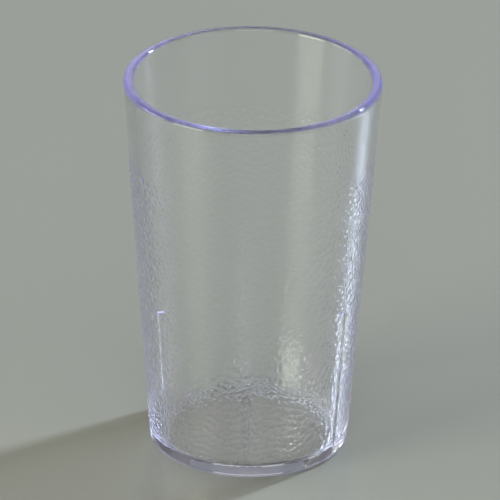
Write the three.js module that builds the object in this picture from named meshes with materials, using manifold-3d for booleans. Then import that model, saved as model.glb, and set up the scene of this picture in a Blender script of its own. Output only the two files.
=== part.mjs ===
// Stackable drinking tumbler, moulded in one piece of clear plastic.
// Millimetres, +Z up. The origin is the centre of the underside and Z is the cup's axis.
import * as THREE from "three";
import { mergeVertices } from "three/addons/utils/BufferGeometryUtils.js";
import Module from "manifold-3d";

// Overall size, outside.
const HEIGHT = 118.5;
const RIM_RADIUS = 38.5; // where the lip is widest
const BASE_RADIUS = 29.7; // where the wall's line meets the underside

// Wall and floor. The lip is an arch as thick as the wall, flatter on top than a half circle.
const WALL = 3.2;
const FLOOR = 3.4;
const LIP_SQUARENESS = 0.75; // 1 would be a half circle
const FOOT_ROUND = 1.8; // outside corner between underside and wall
const FLOOR_ROUND = 1.5; // inside corner between floor and wall

// Grip zone: it stands proud of the drinking band above it by the height of its pebbles.
const GRIP_TOP = 94;
const GRIP_BOTTOM = 3.8;
const GRIP_PROUD = 0.1;
const GRIP_SLOPE = 0.4; // height over which each end of the zone rises

// Stacking ribs inside the wall, which carry the foot of the next cup on their tops.
const RIB_COUNT = 3;
const RIB_FIRST_ANGLE = 92; // degrees from +X
const RIB_TOP = 49.5;
const RIB_WIDTH = 2.0;
const RIB_DEPTH_TOP = 1.5; // how far the rib stands out of the wall, near its top
const RIB_DEPTH_FOOT = 0.8; // and at the floor

// Fineness of the facets.
const FACETS_AROUND = 120;
const FACETS_LIP = 16;
const FACETS_CORNER = 4;
const FACETS_RIB_AROUND = 24;
const FACETS_RIB_END = 6;

// Clear styrene plastic with a faint violet tint.
const clearPlastic = new THREE.MeshStandardMaterial({
  color: 0xe4e4f4,
  roughness: 0.08,
  metalness: 0,
  transparent: true,
  opacity: 0.4,
});

// The wall leans out so that its outside touches the lip's circle.
const lipRadius = WALL / 2;
const lipCentre = new THREE.Vector2(RIM_RADIUS - lipRadius, HEIGHT - lipRadius);
const footToLip = new THREE.Vector2(lipCentre.x - BASE_RADIUS, lipCentre.y);
const lean = Math.atan2(footToLip.x, footToLip.y) + Math.asin(lipRadius / footToLip.length());

function outerRadius(z) {
  return BASE_RADIUS + z * Math.tan(lean);
}

function innerRadius(z) {
  return outerRadius(z) - WALL / Math.cos(lean);
}

// Points of an arc in the section plane, both ends included.
function arc(centre, radius, fromAngle, toAngle, steps) {
  const points = [];
  for (let i = 0; i <= steps; i++) {
    const angle = THREE.MathUtils.lerp(fromAngle, toAngle, i / steps);
    const x = centre.x + radius * Math.cos(angle);
    const y = centre.y + radius * Math.sin(angle);
    points.push(new THREE.Vector2(x, y));
  }
  return points;
}

// The lip from outside to inside, across the wall and along it.
function lipArch() {
  const points = [];
  for (let i = 0; i <= FACETS_LIP; i++) {
    const angle = (i * Math.PI) / FACETS_LIP;
    const cosine = Math.cos(angle);
    const across = lipRadius * Math.sign(cosine) * Math.abs(cosine) ** LIP_SQUARENESS;
    const along = lipRadius * Math.abs(Math.sin(angle)) ** LIP_SQUARENESS;
    const point = new THREE.Vector2(across, along).rotateAround(new THREE.Vector2(), -lean);
    points.push(point.add(lipCentre));
  }
  return points;
}

// The corner at "corner" between the lines to "before" and "after", rounded to a radius.
function roundedCorner(before, corner, after, radius) {
  const back = before.clone().sub(corner).normalize();
  const ahead = after.clone().sub(corner).normalize();
  const half = Math.acos(THREE.MathUtils.clamp(back.dot(ahead), -1, 1)) / 2;
  const bisector = back.clone().add(ahead).normalize();
  const centre = corner.clone().addScaledVector(bisector, radius / Math.sin(half));
  const reach = radius / Math.tan(half);
  const start = corner.clone().addScaledVector(back, reach).sub(centre);
  const end = corner.clone().addScaledVector(ahead, reach).sub(centre);
  const turn = Math.atan2(start.cross(end), start.dot(end));
  return arc(centre, radius, start.angle(), start.angle() + turn, FACETS_CORNER);
}

// The cup's section, from the centre of the underside, up the outside, over the lip and
// down the inside to the centre of the floor.
function cupSection() {
  const outside = (z, proud = 0) => new THREE.Vector2(outerRadius(z) + proud, z);
  const inside = (z) => new THREE.Vector2(innerRadius(z), z);
  const underside = new THREE.Vector2(0, 0);
  const floorCentre = new THREE.Vector2(0, FLOOR);
  return [
    underside,
    ...roundedCorner(underside, outside(0), outside(GRIP_BOTTOM), FOOT_ROUND),
    outside(GRIP_BOTTOM),
    outside(GRIP_BOTTOM + GRIP_SLOPE, GRIP_PROUD),
    outside(GRIP_TOP - GRIP_SLOPE, GRIP_PROUD),
    outside(GRIP_TOP),
    ...lipArch(),
    ...roundedCorner(inside(HEIGHT), inside(FLOOR), floorCentre, FLOOR_ROUND),
    floorCentre,
  ];
}

function cupGeometry() {
  const cup = new THREE.LatheGeometry(cupSection(), FACETS_AROUND);
  return cup.rotateX(Math.PI / 2);
}

// One rib: a round-ended bar, oval across. It lies half in the wall at its top, sinks deeper
// into the wall on its way down, and ends inside the floor.
function ribGeometry(angle) {
  const halfWidth = RIB_WIDTH / 2;
  const topHeight = RIB_TOP - halfWidth;
  const footHeight = FLOOR / 2;
  const sunk = RIB_DEPTH_TOP - RIB_DEPTH_FOOT;
  const top = new THREE.Vector3(innerRadius(topHeight), 0, topHeight);
  const foot = new THREE.Vector3(innerRadius(footHeight) + sunk, 0, footHeight);
  const tilt = Math.atan2(top.x - foot.x, top.z - foot.z);
  const middle = top.clone().lerp(foot, 0.5);
  const rib = new THREE.CapsuleGeometry(
    halfWidth,
    top.distanceTo(foot),
    FACETS_RIB_END,
    FACETS_RIB_AROUND,
  );
  rib.scale(RIB_DEPTH_TOP / halfWidth, 1, 1);
  rib.rotateX(Math.PI / 2);
  rib.rotateY(tilt);
  rib.translate(middle.x, middle.y, middle.z);
  return rib.rotateZ(angle);
}

const wasm = await Module();
wasm.setup();

function toSolid(geometry) {
  geometry.deleteAttribute("normal");
  geometry.deleteAttribute("uv");
  const merged = mergeVertices(geometry, 1e-4);
  const vertProperties = new Float32Array(merged.attributes.position.array);
  const triVerts = new Uint32Array(merged.index.array);
  return new wasm.Manifold(new wasm.Mesh({ numProp: 3, vertProperties, triVerts }));
}

function toGeometry(solid) {
  const mesh = solid.getMesh();
  const geometry = new THREE.BufferGeometry();
  geometry.setAttribute("position", new THREE.BufferAttribute(mesh.vertProperties, 3));
  geometry.setIndex(new THREE.BufferAttribute(mesh.triVerts, 1));
  geometry.computeVertexNormals();
  return geometry;
}

function tumblerGeometry() {
  let solid = toSolid(cupGeometry());
  for (let i = 0; i < RIB_COUNT; i++) {
    const angle = THREE.MathUtils.degToRad(RIB_FIRST_ANGLE + (i * 360) / RIB_COUNT);
    solid = solid.add(toSolid(ribGeometry(angle)));
  }
  return toGeometry(solid);
}

const tumbler = new THREE.Mesh(tumblerGeometry(), clearPlastic);
tumbler.name = "tumbler";

const model = new THREE.Group();
model.add(tumbler);

export default model;
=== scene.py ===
"""Looks of a clear, stackable plastic tumbler on a pale grey table. Metres, +Z up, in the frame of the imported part.

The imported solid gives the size, and one finer skin takes its place: the same section, with the pebbled relief of the
grip zone as real geometry. The plastic is clear, with a violet tint that shows where light runs a long way in it.
"""
import math

import bpy
import numpy as np
from mathutils import Matrix, Vector, kdtree
from mathutils.geometry import delaunay_2d_cdt


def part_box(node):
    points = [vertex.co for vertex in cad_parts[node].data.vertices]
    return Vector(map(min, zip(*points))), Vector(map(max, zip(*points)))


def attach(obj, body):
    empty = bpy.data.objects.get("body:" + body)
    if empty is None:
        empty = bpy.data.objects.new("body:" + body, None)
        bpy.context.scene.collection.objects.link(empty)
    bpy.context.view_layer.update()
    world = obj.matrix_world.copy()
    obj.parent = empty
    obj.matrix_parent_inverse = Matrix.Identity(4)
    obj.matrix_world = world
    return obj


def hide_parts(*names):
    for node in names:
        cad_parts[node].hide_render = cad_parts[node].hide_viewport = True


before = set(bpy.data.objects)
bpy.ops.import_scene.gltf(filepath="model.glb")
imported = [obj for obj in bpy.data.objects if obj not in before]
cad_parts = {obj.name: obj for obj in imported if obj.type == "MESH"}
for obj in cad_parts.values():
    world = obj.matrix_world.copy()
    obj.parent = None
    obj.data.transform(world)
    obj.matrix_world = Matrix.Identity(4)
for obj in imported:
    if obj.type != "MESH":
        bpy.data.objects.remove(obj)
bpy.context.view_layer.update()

low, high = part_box("tumbler")
MM = 0.001

# The cup's section, as in the part's source.
HEIGHT = high.z
RIM_RADIUS = high.x
BASE_RADIUS = 29.7 * MM
WALL = 3.2 * MM
FLOOR = 3.4 * MM
FOOT_ROUND = 1.8 * MM
FLOOR_ROUND = 1.5 * MM
GRIP_TOP = 94 * MM
GRIP_BOTTOM = 3.8 * MM
RIB_COUNT = 3
RIB_FIRST_ANGLE = math.radians(92)
RIB_TOP = 49.5 * MM
RIB_WIDTH = 2.0 * MM
RIB_DEPTH_TOP = 1.5 * MM
RIB_DEPTH_FOOT = 0.8 * MM

# The relief of the grip zone: low round pebbles, scattered, with a little plain wall between them.
PEBBLE_SPACING = 1.5 * MM
PEBBLE_TRIALS = 60000
PEBBLE_MARGIN = 1.0 * MM
PEBBLE_HEIGHT = 0.10 * MM
PEBBLE_RADIUS = 0.62 * MM
PEBBLE_SPREAD = 0.3
PEBBLE_SEED = 11
SEAM_STEPS = 45

# Roughness of the polished faces, and of the ring that the cup stands on, from its inside radius outwards.
POLISH = 0.02
MATT = 0.4
MATT_INSIDE = 25.0 * MM
MATT_TOP = 0.05 * MM

# Air under the foot, which no moulding touches all over.
TABLE_GAP = 0.15 * MM

# Fineness of the skin.
PLAIN_COLUMNS = 216
LIP_STEPS = 24
LIP_SQUARENESS = 0.75
CORNER_STEPS = 5

LIP_RADIUS = WALL / 2
LIP_CENTRE = np.array([RIM_RADIUS - LIP_RADIUS, HEIGHT - LIP_RADIUS])


def wall_lean():
    """How far the wall leans out, so that its outside touches the lip's circle."""
    run, rise = LIP_CENTRE[0] - BASE_RADIUS, LIP_CENTRE[1]
    return math.atan2(run, rise) + math.asin(LIP_RADIUS / math.hypot(run, rise))


LEAN = wall_lean()


def outer_radius(z):
    return BASE_RADIUS + z * math.tan(LEAN)


def inner_radius(z):
    return outer_radius(z) - WALL / math.cos(LEAN)


def arc(centre, radius, start, end, steps):
    """Points of an arc in the section plane, both ends included."""
    angles = np.linspace(start, end, steps + 1)
    return [(centre[0] + radius * math.cos(a), centre[1] + radius * math.sin(a)) for a in angles]


def rounded_corner(before, corner, after, radius, steps):
    """The corner between the lines to before and after, rounded to a radius."""
    before, corner, after = (Vector(p) for p in (before, corner, after))
    back = (before - corner).normalized()
    ahead = (after - corner).normalized()
    half = back.angle(ahead) / 2
    centre = corner + (back + ahead).normalized() * (radius / math.sin(half))
    reach = radius / math.tan(half)
    start = corner + back * reach - centre
    end = corner + ahead * reach - centre
    first = math.atan2(start.y, start.x)
    turn = math.atan2(start.cross(end), start.dot(end))
    return arc(centre, radius, first, first + turn, steps)


def lip_section():
    """The lip from outside to inside: an arch that is flatter than a half circle on its top."""
    points = []
    for a in np.linspace(0, math.pi, LIP_STEPS + 1):
        across = LIP_RADIUS * math.copysign(abs(math.cos(a)) ** LIP_SQUARENESS, math.cos(a))
        up = LIP_RADIUS * math.sin(a) ** LIP_SQUARENESS
        points.append((
            LIP_CENTRE[0] + across * math.cos(LEAN) + up * math.sin(LEAN),
            LIP_CENTRE[1] + up * math.cos(LEAN) - across * math.sin(LEAN),
        ))
    return points


class Skin:
    """A closed skin of rings round the Z axis, each joined to the one before."""

    def __init__(self):
        self.points = []
        self.faces = []
        self.last = None

    def add(self, angles, radii, heights):
        """Adds points, given round the axis, and returns their numbers."""
        angles = np.asarray(angles)
        radii = np.broadcast_to(radii, angles.shape)
        heights = np.broadcast_to(heights, angles.shape)
        first = len(self.points)
        self.points += list(zip(radii * np.cos(angles), radii * np.sin(angles), heights))
        return np.arange(first, first + len(angles))

    def ring(self, angles, radii, heights):
        """Adds a ring of points and joins it to the last one."""
        ids = self.add(angles, radii, heights)
        if self.last is None:
            self.faces.append(tuple(int(i) for i in ids[::-1]))
        else:
            self._join(*self.last, ids, angles)
        self.last = (ids, angles)

    def join_chain(self, ids, angles):
        """Joins the last ring to a chain of points that are there already."""
        self._join(*self.last, ids, angles)
        self.last = (ids, angles)

    def close(self):
        """Caps the last ring with one flat face."""
        self.faces.append(tuple(int(i) for i in self.last[0]))

    def _join(self, ids_a, angles_a, ids_b, angles_b):
        if len(ids_a) == len(ids_b):
            for i in range(len(ids_a)):
                j = (i + 1) % len(ids_a)
                self.faces.append((int(ids_a[i]), int(ids_a[j]), int(ids_b[j]), int(ids_b[i])))
            return
        self._zip(ids_a, angles_a, ids_b, angles_b)

    def _zip(self, ids_a, angles_a, ids_b, angles_b):
        """Joins two rings with different numbers of points, always stepping along the one that is behind."""
        n, m = len(ids_a), len(ids_b)
        i = j = 0
        while i < n or j < m:
            next_a = angles_a[i + 1] if i + 1 < n else 2 * math.pi + angles_a[0]
            next_b = angles_b[j + 1] if j + 1 < m else 2 * math.pi + angles_b[0]
            if j == m or (i < n and next_a <= next_b):
                self.faces.append((int(ids_a[i % n]), int(ids_a[(i + 1) % n]), int(ids_b[j % m])))
                i += 1
            else:
                self.faces.append((int(ids_a[i % n]), int(ids_b[(j + 1) % m]), int(ids_b[j % m])))
                j += 1


def even_angles(count):
    return np.arange(count) * (2 * math.pi / count)


# A pebble's points: its top, six on its flank and six at its foot, the last two sets at these angles.
PEBBLE_CORNERS = np.radians([30, 90, 150, 210, 270, 330])


def on_wall(angle, z):
    return outer_radius(z) * math.cos(angle), outer_radius(z) * math.sin(angle), z


def point_tree(points):
    tree = kdtree.KDTree(len(points))
    for k, point in enumerate(points):
        tree.insert(point, k)
    tree.balance()
    return tree


def pebble_sites(rng):
    """Angle and height of each pebble's middle, scattered but never close together, and its nearest neighbour's
    distance. A strip along the seam, where the sheet of wall meets itself, stays plain."""
    strip = PEBBLE_MARGIN / BASE_RADIUS
    turns = rng.uniform(strip, 2 * math.pi - strip, PEBBLE_TRIALS)
    heights = rng.uniform(GRIP_BOTTOM + PEBBLE_MARGIN, GRIP_TOP - PEBBLE_MARGIN, PEBBLE_TRIALS)
    spacings = PEBBLE_SPACING * rng.uniform(1 - PEBBLE_SPREAD / 2, 1 + PEBBLE_SPREAD, PEBBLE_TRIALS)
    trials = [on_wall(a, z) for a, z in zip(turns, heights)]
    tree = point_tree(trials)
    free = np.ones(PEBBLE_TRIALS, bool)
    kept = []
    for k, place in enumerate(trials):
        if free[k]:
            kept.append(k)
            for _, other, _ in tree.find_range(place, spacings[k]):
                free[other] = False
    tree = point_tree([trials[k] for k in kept])
    return [(turns[k], heights[k], tree.find_n(trials[k], 2)[1][2]) for k in kept]


def pebble_points(rng, site):
    """Angles, radii and heights of one pebble's thirteen points."""
    angle, z, room = site
    size, rise = rng.uniform(1 - PEBBLE_SPREAD, 1 + PEBBLE_SPREAD, 2)
    reach = min(PEBBLE_RADIUS * size, 0.48 * room) * np.repeat([0, 0.55, 1], [1, 6, 6])
    corners = np.concatenate([[0], PEBBLE_CORNERS, PEBBLE_CORNERS])
    heights = z + reach * np.sin(corners)
    angles = angle + reach * np.cos(corners) / outer_radius(heights)
    dome = PEBBLE_HEIGHT * rise * np.repeat([1, 0.65, 0], [1, 6, 6])
    return angles, outer_radius(heights) + dome, heights


def pebble_faces(own):
    """The faces of one pebble: a fan round its top and a band round its flank."""
    top, flank, foot = own[0], own[1:7], own[7:]
    faces = []
    for m in range(6):
        n = (m + 1) % 6
        faces.append((top, flank[m], flank[n]))
        faces.append((flank[m], foot[m], foot[n], flank[n]))
    return faces


class Sheet:
    """The wall of the grip zone laid out flat, in millimetres, to be filled with triangles."""

    def __init__(self):
        self.places = []
        self.owners = []
        self.edges = []
        self.pebbles = []

    def lay(self, ids, angles, heights, pebble=-1):
        first = len(self.places)
        middle = outer_radius((GRIP_BOTTOM + GRIP_TOP) / 2)
        self.places += [Vector((a * middle / MM, z / MM)) for a, z in zip(angles, heights)]
        self.owners += [int(i) for i in ids]
        self.pebbles += [pebble] * len(ids)
        if pebble >= 0:
            self.edges += [(first + m, first + (m + 1) % 6) for m in range(6)]

    def triangles(self):
        """Triangles between the points, as the skin's point numbers, leaving out those under a pebble."""
        places, _, faces, origins, _, _ = delaunay_2d_cdt(self.places, self.edges, [], 0, 1e-7)
        found = []
        for face in faces:
            corners = [origins[i][0] for i in face]
            under = {self.pebbles[c] for c in corners}
            if len(under) > 1 or -1 in under:
                found.append(tuple(self.owners[c] for c in corners))
        return found


def pebble_zone(skin):
    """The pebbles, from the foot of the grip zone to its top, with the wall between them."""
    rng = np.random.default_rng(PEBBLE_SEED)
    sheet = Sheet()
    lower, turns = skin.last
    upper = skin.add(turns, outer_radius(GRIP_TOP), GRIP_TOP)
    for ids, z in ((lower, GRIP_BOTTOM), (upper, GRIP_TOP)):
        sheet.lay([*ids, ids[0]], [*turns, 2 * math.pi], [z] * (len(ids) + 1))
    heights = np.linspace(GRIP_BOTTOM, GRIP_TOP, SEAM_STEPS + 1)[1:-1]
    seam = skin.add(np.zeros(len(heights)), outer_radius(heights), heights)
    for turn in (0, 2 * math.pi):
        sheet.lay(seam, [turn] * len(seam), heights)
    for number, site in enumerate(pebble_sites(rng)):
        angles, radii, heights = pebble_points(rng, site)
        ids = [int(i) for i in skin.add(angles, radii, heights)]
        skin.faces += pebble_faces(ids)
        sheet.lay(ids[7:], angles[7:], heights[7:], number)
    skin.faces += sheet.triangles()
    skin.last = (upper, turns)


def rib_columns():
    """Angles of the columns of the lower inside wall, close together across each rib."""
    across = RIB_WIDTH / 2 / inner_radius(RIB_TOP)
    steps = np.concatenate([np.sin(np.radians([0, 12, 24, 36, 47, 57, 66, 74, 81, 86, 90])), [1.03, 1.3, 1.8]])
    near = np.concatenate([-steps[:0:-1], steps]) * across
    plain = 48
    angles = []
    for k in range(RIB_COUNT):
        middle = RIB_FIRST_ANGLE + k * 2 * math.pi / RIB_COUNT
        gap_start = middle + near[-1]
        gap = 2 * math.pi / RIB_COUNT - 2 * near[-1]
        angles += list(middle + near)
        angles += list(gap_start + gap * np.arange(1, plain) / plain)
    return np.sort(np.mod(angles, 2 * math.pi))


def rib_offset(angles):
    """Distance round the wall from each angle to the middle of its nearest rib."""
    spacing = 2 * math.pi / RIB_COUNT
    turn = np.mod(angles - RIB_FIRST_ANGLE + spacing / 2, spacing) - spacing / 2
    return np.abs(turn) * inner_radius(RIB_TOP)


def rib_height(offset, z):
    """How far a rib stands out of the wall: a round-ended bar, oval across, sinking into the wall on its way down."""
    half = RIB_WIDTH / 2
    top, foot = RIB_TOP - half, FLOOR / 2
    beyond = max(z - top, 0)
    bar = RIB_DEPTH_TOP * np.sqrt(np.clip(1 - (offset ** 2 + beyond ** 2) / half ** 2, 0, 1))
    sunk = (RIB_DEPTH_TOP - RIB_DEPTH_FOOT) * max(top - z, 0) / (top - foot)
    return np.maximum(bar - sunk, 0)


def lower_inside(skin):
    """The inside wall below the rib tops, with the ribs standing out of it, down to the floor."""
    angles = rib_columns()
    offset = rib_offset(angles)
    half = RIB_WIDTH / 2
    for z in (RIB_TOP + 2 * MM, RIB_TOP + 0.4 * MM, RIB_TOP + 0.03 * MM):
        skin.ring(angles, inner_radius(z), z)
    corner = rounded_corner(
        (inner_radius(HEIGHT), HEIGHT), (inner_radius(FLOOR), FLOOR), (0, FLOOR), FLOOR_ROUND, CORNER_STEPS + 1
    )
    top_rows = RIB_TOP - half + half * np.cos(np.linspace(0, math.pi / 2, 10))
    for z in [*top_rows, *np.linspace(RIB_TOP - half, corner[0][1], 14)[1:-1]]:
        skin.ring(angles, inner_radius(z) - rib_height(offset, z), z)
    for radius, z in corner:
        skin.ring(angles, np.minimum(radius, inner_radius(z) - rib_height(offset, z)), z)
    skin.ring(angles, corner[-1][0] - 0.4 * MM, FLOOR)
    skin.ring(angles, corner[-1][0] - 2 * MM, FLOOR)


def tumbler_skin():
    """The whole cup, from the middle of the underside round to the middle of the floor."""
    skin = Skin()
    plain = even_angles(PLAIN_COLUMNS)
    foot = rounded_corner(
        (0, 0), (BASE_RADIUS, 0), (outer_radius(GRIP_BOTTOM), GRIP_BOTTOM), FOOT_ROUND, CORNER_STEPS
    )
    skin.ring(plain, foot[0][0] - 2 * MM, 0)
    skin.ring(plain, foot[0][0] - 0.4 * MM, 0)
    for radius, z in foot:
        skin.ring(plain, radius, z)
    skin.ring(plain, outer_radius(GRIP_BOTTOM), GRIP_BOTTOM)
    pebble_zone(skin)
    skin.ring(plain, outer_radius(GRIP_TOP + 1 * MM), GRIP_TOP + 1 * MM)
    for z in np.linspace(GRIP_TOP + 1 * MM, LIP_CENTRE[1] - 2 * MM, 4)[1:]:
        skin.ring(plain, outer_radius(z), z)
    for radius, z in lip_section():
        skin.ring(plain, radius, z)
    for z in np.linspace(LIP_CENTRE[1] - 2 * MM, RIB_TOP + 4 * MM, 6):
        skin.ring(plain, inner_radius(z), z)
    lower_inside(skin)
    skin.close()
    return skin


def make_piece(name, skin):
    mesh = bpy.data.meshes.new(name)
    mesh.from_pydata(skin.points, [], skin.faces)
    mesh.polygons.foreach_set("use_smooth", [True] * len(mesh.polygons))
    mesh.validate()
    piece = bpy.data.objects.new(name, mesh)
    bpy.context.scene.collection.objects.link(piece)
    return piece


def new_material(name):
    material = bpy.data.materials.new(name)
    material.use_nodes = True
    nodes = material.node_tree.nodes
    return material, nodes, material.node_tree.links, nodes["Principled BSDF"]


def clear_plastic():
    material, nodes, links, shader = new_material("clear_plastic")
    shader.inputs["Base Color"].default_value = (1.0, 1.0, 1.0, 1.0)
    shader.inputs["IOR"].default_value = 1.57
    shader.inputs["Transmission Weight"].default_value = 1.0
    shader.inputs["Roughness"].default_value = POLISH
    matt_foot(nodes, links, shader)
    output = nodes["Material Output"]
    absorption = nodes.new("ShaderNodeVolumeAbsorption")
    absorption.inputs["Color"].default_value = (0.25, 0.20, 0.80, 1.0)
    absorption.inputs["Density"].default_value = 5.5
    links.new(absorption.outputs["Volume"], output.inputs["Volume"])
    let_lamps_through(nodes, links, shader, output)
    return material


def matt_foot(nodes, links, shader):
    """The ring that the cup stands on is matt from use; every other face is polished."""
    place = nodes.new("ShaderNodeNewGeometry")
    parts = nodes.new("ShaderNodeSeparateXYZ")
    links.new(place.outputs["Position"], parts.inputs["Vector"])
    low_down = nodes.new("ShaderNodeMath")
    low_down.operation = "LESS_THAN"
    low_down.inputs[1].default_value = MATT_TOP
    links.new(parts.outputs["Z"], low_down.inputs[0])
    reach = nodes.new("ShaderNodeVectorMath")
    reach.operation = "LENGTH"
    links.new(place.outputs["Position"], reach.inputs[0])
    far_out = nodes.new("ShaderNodeMath")
    far_out.operation = "GREATER_THAN"
    far_out.inputs[1].default_value = MATT_INSIDE
    links.new(reach.outputs["Value"], far_out.inputs[0])
    both = nodes.new("ShaderNodeMath")
    both.operation = "MULTIPLY"
    links.new(low_down.outputs["Value"], both.inputs[0])
    links.new(far_out.outputs["Value"], both.inputs[1])
    roughness = nodes.new("ShaderNodeMix")
    roughness.inputs["A"].default_value = POLISH
    roughness.inputs["B"].default_value = MATT
    links.new(both.outputs["Value"], roughness.inputs["Factor"])
    links.new(roughness.outputs["Result"], shader.inputs["Roughness"])


def straight_share(nodes, links):
    """The share that a face lets by straight on: the pebbles of the wall scatter more of it than the level floor."""
    place = nodes.new("ShaderNodeNewGeometry")
    parts = nodes.new("ShaderNodeSeparateXYZ")
    links.new(place.outputs["Normal"], parts.inputs["Vector"])
    upright = nodes.new("ShaderNodeMath")
    upright.operation = "ABSOLUTE"
    links.new(parts.outputs["Z"], upright.inputs[0])
    level = nodes.new("ShaderNodeMath")
    level.operation = "GREATER_THAN"
    level.inputs[1].default_value = 0.9
    links.new(upright.outputs["Value"], level.inputs[0])
    straight = nodes.new("ShaderNodeMix")
    straight.data_type = "RGBA"
    straight.inputs["A"].default_value = (0.78, 0.78, 0.78, 1.0)
    straight.inputs["B"].default_value = (0.95, 0.95, 0.97, 1.0)
    links.new(level.outputs["Value"], straight.inputs["Factor"])
    return straight.outputs["Result"]


def let_lamps_through(nodes, links, shader, output):
    """Shadow rays pass each face with the share of light that a clear face lets by, less at a low angle."""
    facing = nodes.new("ShaderNodeLayerWeight")
    facing.inputs["Blend"].default_value = 0.5
    low_angle = nodes.new("ShaderNodeMath")
    low_angle.operation = "POWER"
    low_angle.inputs[1].default_value = 2.5
    links.new(facing.outputs["Facing"], low_angle.inputs[0])
    share = nodes.new("ShaderNodeMix")
    share.data_type = "RGBA"
    share.inputs["B"].default_value = (0.0, 0.0, 0.0, 1.0)
    links.new(straight_share(nodes, links), share.inputs["A"])
    links.new(low_angle.outputs["Value"], share.inputs["Factor"])
    clear = nodes.new("ShaderNodeBsdfTransparent")
    links.new(share.outputs["Result"], clear.inputs["Color"])
    path = nodes.new("ShaderNodeLightPath")
    choice = nodes.new("ShaderNodeMixShader")
    links.new(path.outputs["Is Shadow Ray"], choice.inputs["Fac"])
    links.new(shader.outputs["BSDF"], choice.inputs[1])
    links.new(clear.outputs["BSDF"], choice.inputs[2])
    links.new(choice.outputs["Shader"], output.inputs["Surface"])


def table_material():
    material, nodes, links, shader = new_material("table")
    shader.inputs["Base Color"].default_value = (0.342, 0.345, 0.302, 1.0)
    shader.inputs["Roughness"].default_value = 0.34
    return material


def make_table():
    bpy.ops.mesh.primitive_plane_add(size=8, location=(0, 0, -TABLE_GAP))
    table = bpy.context.object
    table.name = "table"
    table.data.materials.append(table_material())


def direction(azimuth, elevation):
    """Unit vector from the cup: azimuth in degrees from +X towards +Y, elevation above the table."""
    a, e = math.radians(azimuth), math.radians(elevation)
    return Vector((math.cos(e) * math.cos(a), math.cos(e) * math.sin(a), math.sin(e)))


def add_light(name, azimuth, elevation, distance, width, height, radiance, colour):
    """An area lamp facing the cup, of the given radiance."""
    light = bpy.data.lights.new(name, "AREA")
    light.shape = "RECTANGLE"
    light.size = width
    light.size_y = height
    light.energy = radiance * math.pi * width * height
    light.color = colour
    lamp = bpy.data.objects.new(name, light)
    aim = Vector((0, 0, HEIGHT / 2))
    away = direction(azimuth, elevation)
    lamp.location = aim + away * distance
    lamp.rotation_euler = away.to_track_quat("Z", "Y").to_euler()
    bpy.context.scene.collection.objects.link(lamp)
    return lamp


def make_lights():
    add_light("key", 37, 35, 3.0, 0.22, 0.22, 440, (0.87, 1.0, 1.22))
    add_light("window", 212, 22, 2.4, 1.1, 0.9, 11, (0.95, 1.0, 0.82))
    add_light("warm", 321, 30, 3.0, 1.2, 0.9, 2.2, (1.0, 0.93, 0.92))
    add_light("left", 175, 18, 2.4, 1.2, 0.9, 4.0, (1.0, 0.92, 0.95))
    add_light("near", 270, 40, 0.9, 0.5, 0.5, 1.9, (1.0, 1.0, 0.97))
    add_light("backdrop", 90, 26, 1.6, 0.9, 0.6, 0.6, (1.0, 1.0, 0.85))
    make_room()


def make_room():
    """Dim light from the walls of a room, fading upwards."""
    world = bpy.data.worlds.new("room")
    world.use_nodes = True
    nodes, links = world.node_tree.nodes, world.node_tree.links
    direction_to = nodes.new("ShaderNodeTexCoord")
    parts = nodes.new("ShaderNodeSeparateXYZ")
    links.new(direction_to.outputs["Generated"], parts.inputs["Vector"])
    down = nodes.new("ShaderNodeMath")
    down.operation = "SUBTRACT"
    down.use_clamp = True
    down.inputs[0].default_value = 1.0
    links.new(parts.outputs["Z"], down.inputs[1])
    fade = nodes.new("ShaderNodeMath")
    fade.operation = "POWER"
    fade.inputs[1].default_value = 3.0
    links.new(down.outputs["Value"], fade.inputs[0])
    tone = nodes.new("ShaderNodeMix")
    tone.data_type = "RGBA"
    tone.inputs["A"].default_value = (0.03, 0.03, 0.03, 1.0)
    tone.inputs["B"].default_value = (0.85, 0.83, 0.78, 1.0)
    links.new(fade.outputs["Value"], tone.inputs["Factor"])
    background = nodes["Background"]
    links.new(tone.outputs["Result"], background.inputs["Color"])
    background.inputs["Strength"].default_value = 0.8
    bpy.context.scene.world = world


def set_light_paths():
    """Light runs a long way inside the wall, so its paths get many steps."""
    cycles = bpy.context.scene.cycles
    cycles.max_bounces = 256
    cycles.transmission_bounces = 64
    cycles.glossy_bounces = 256
    cycles.diffuse_bounces = 6
    cycles.caustics_refractive = False
    cycles.caustics_reflective = False


def make_camera():
    """A long lens, 26 degrees above the table."""
    elevation = 26.02
    distance = 2.396
    centre = Vector((0, 0, HEIGHT / 2))
    place = centre + direction(-90, elevation) * distance
    right = Vector((1, 0, 0))
    up = Vector((0, math.sin(math.radians(elevation)), math.cos(math.radians(elevation))))
    aim = centre - right * 0.25 * MM + up * 2.35 * MM
    camera = bpy.data.cameras.new("camera")
    camera.sensor_width = 36
    camera.lens = 576
    camera.clip_end = 50
    view = bpy.data.objects.new("camera", camera)
    roll = Matrix.Rotation(0.0129, 4, "Z")
    look = (place - aim).to_track_quat("Z", "Y").to_matrix().to_4x4()
    view.matrix_world = Matrix.Translation(place) @ look @ roll
    bpy.context.scene.collection.objects.link(view)
    bpy.context.scene.camera = view


make_camera()
make_table()
make_lights()
set_light_paths()

tumbler = make_piece("tumbler_skin", tumbler_skin())
tumbler.data.materials.append(clear_plastic())
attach(tumbler, "root")
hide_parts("tumbler")

bpy.context.scene.view_settings.view_transform = "Standard"
